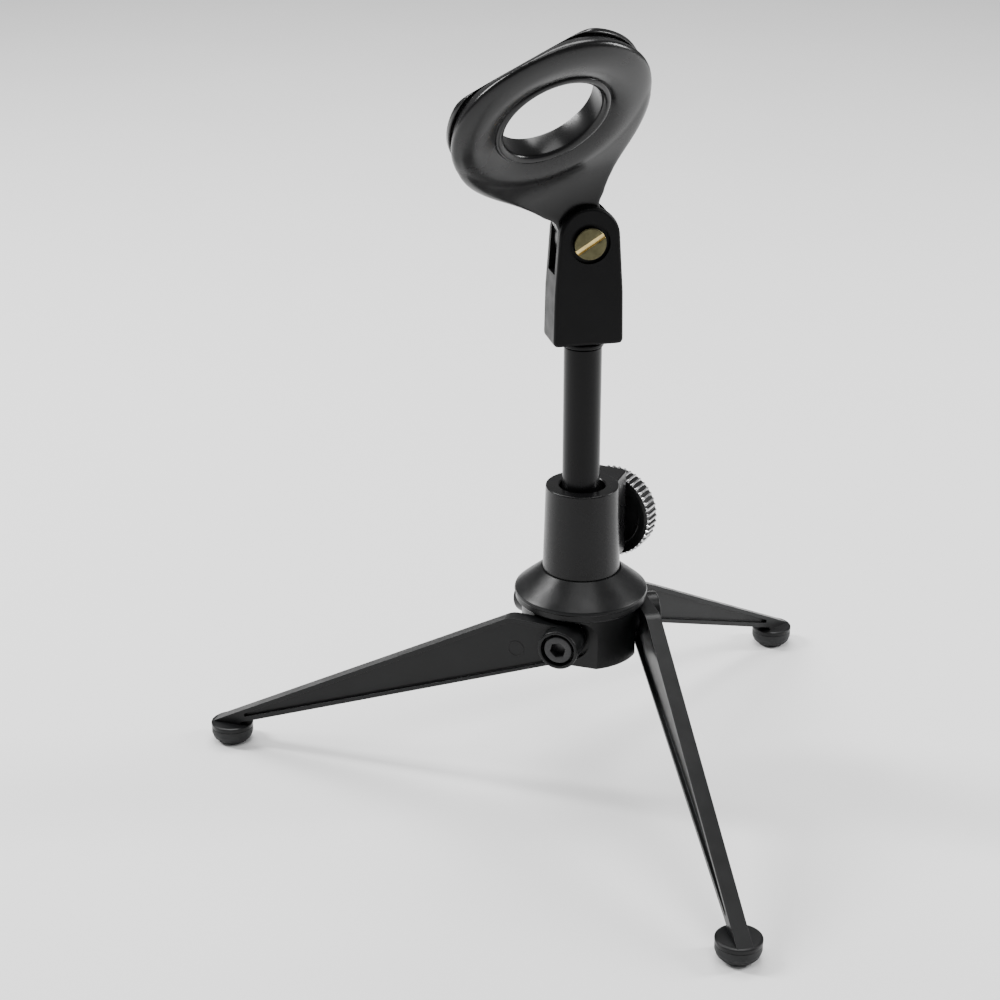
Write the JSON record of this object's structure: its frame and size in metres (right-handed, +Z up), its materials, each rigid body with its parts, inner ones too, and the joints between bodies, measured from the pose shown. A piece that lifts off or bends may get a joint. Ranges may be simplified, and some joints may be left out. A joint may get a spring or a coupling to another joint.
{
  "type": "desktop_mic_stand",
  "caption": "Black folding tripod desktop microphone stand with a clamped sliding post, swivelling fork and round tilting clip",
  "frame": {"origin": "on the table, under the middle of the stand's outline", "axes": "+Z up, -Y towards the viewer's side, +X to the viewer's right"},
  "size_m": [0.1916, 0.2019, 0.2346],
  "materials": {
    "cast_black": "satin black paint over die casting",
    "satin_black_paint": "satin black paint",
    "black_oxide": "black oxide",
    "nylon": "natural nylon",
    "foot_rubber": "matt dark grey rubber",
    "tube_black": "satin black tube",
    "moulded_black": "fine-textured moulded black plastic",
    "clip_rubber": "soft satin black rubber",
    "brass": "dull aged brass",
    "nickel": "bright nickel knurl with blackened faces"
  },
  "bodies": {
    "base": {"hub_casting": "cast_black", "post_sleeve": "satin_black_paint", "leg_bolt_1": "black_oxide", "leg_bolt_2": "black_oxide", "leg_bolt_3": "black_oxide", "leg_washer_1": "nylon", "leg_washer_2": "nylon", "leg_washer_3": "nylon"},
    "leg_1_body": {"leg_1": "cast_black", "foot_pad_1": "foot_rubber"},
    "leg_2_body": {"leg_2": "cast_black", "foot_pad_2": "foot_rubber"},
    "leg_3_body": {"leg_3": "cast_black", "foot_pad_3": "foot_rubber"},
    "post": {"post_tube": "tube_black", "tube_end_plug": "moulded_black", "post_stud": "tube_black"},
    "fork": {"yoke": "moulded_black", "yoke_insert": "brass", "pivot_screw": "brass", "pivot_washer": "brass", "pivot_nut": "brass"},
    "clip": {"clip_ring": "clip_rubber"},
    "brake": {"brake_pad": "nylon"},
    "thumb": {"thumb_wheel": "nickel", "thumb_screw": "nickel"}
  },
  "joints": [
    {"name": "leg_1_fold", "type": "hinge", "parent": "base", "child": "leg_1_body", "pos_m": [0.01407, -0.00848, 0.051], "axis": [-0.3156, -0.9489, 0], "range_deg": [0, 66]},
    {"name": "leg_2_fold", "type": "hinge", "parent": "base", "child": "leg_2_body", "pos_m": [0.0078, 0.02206, 0.051], "axis": [-0.6639, 0.7478, 0], "range_deg": [0, 66]},
    {"name": "leg_3_fold", "type": "hinge", "parent": "base", "child": "leg_3_body", "pos_m": [0.03738, 0.01222, 0.051], "axis": [0.9796, 0.2011, 0], "range_deg": [0, 66]},
    {"name": "post_height", "type": "slide", "parent": "base", "child": "post", "axis": [0, 0, 1], "range_m": [-0.04, 0.01]},
    {"name": "fork_swivel", "type": "hinge", "parent": "post", "child": "fork", "pos_m": [0.01928, 0.00772, 0.145], "axis": [0, 0, 1], "range_deg": [-180, 180]},
    {"name": "clip_tilt", "type": "hinge", "parent": "fork", "child": "clip", "pos_m": [0.01928, 0.00772, 0.1695], "axis": [0.225, -0.9744, 0], "range_deg": [-111, 69]},
    {"name": "thumb_travel", "type": "slide", "parent": "base", "child": "brake", "axis": [0.4695, 0.8829, 0], "range_m": [0, 0.002]},
    {"name": "thumb_turn", "type": "hinge", "parent": "brake", "child": "thumb", "pos_m": [0.02914, 0.02626, 0.078], "axis": [0.4695, 0.8829, 0], "range_deg": [0, 720]}
  ],
  "couplings": [
    {"joint": "thumb_turn", "follows": "thumb_travel", "rad_per_m": 6283.2}
  ]
}
